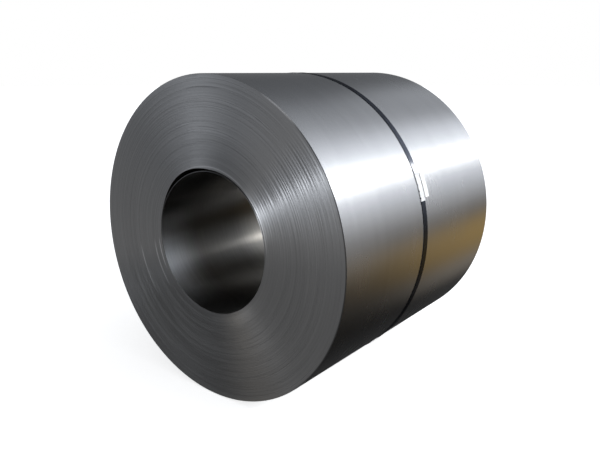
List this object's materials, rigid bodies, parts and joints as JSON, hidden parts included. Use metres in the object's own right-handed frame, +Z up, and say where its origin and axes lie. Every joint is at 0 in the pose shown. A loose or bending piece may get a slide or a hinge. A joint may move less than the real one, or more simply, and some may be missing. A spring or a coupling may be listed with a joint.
{
  "type": "steel coil",
  "caption": "Coil of bare cold-rolled steel strip with an open bore, lying on its side, its turns showing on the ends, held by a dark steel strap with a crimped seal.",
  "frame": {"origin": "on the floor, under the middle of the coil", "axes": "+Z up, +Y along the bore from the end with the near view towards the other end, +X to the side that carries the seal"},
  "size_m": [1.3773, 1.2532, 1.3774],
  "materials": {
    "bare_steel": "oiled cold-rolled steel, satin, with the turns' edges drawn round the ends",
    "blued_strap": "blue-black, glossy",
    "zinc_seal": "bright zinc plate",
    "white_tag": "blank white film"
  },
  "bodies": {
    "root": {"coil": "bare_steel", "strap": "blued_strap", "seal": "zinc_seal", "tag": "white_tag"}
  },
  "joints": []
}
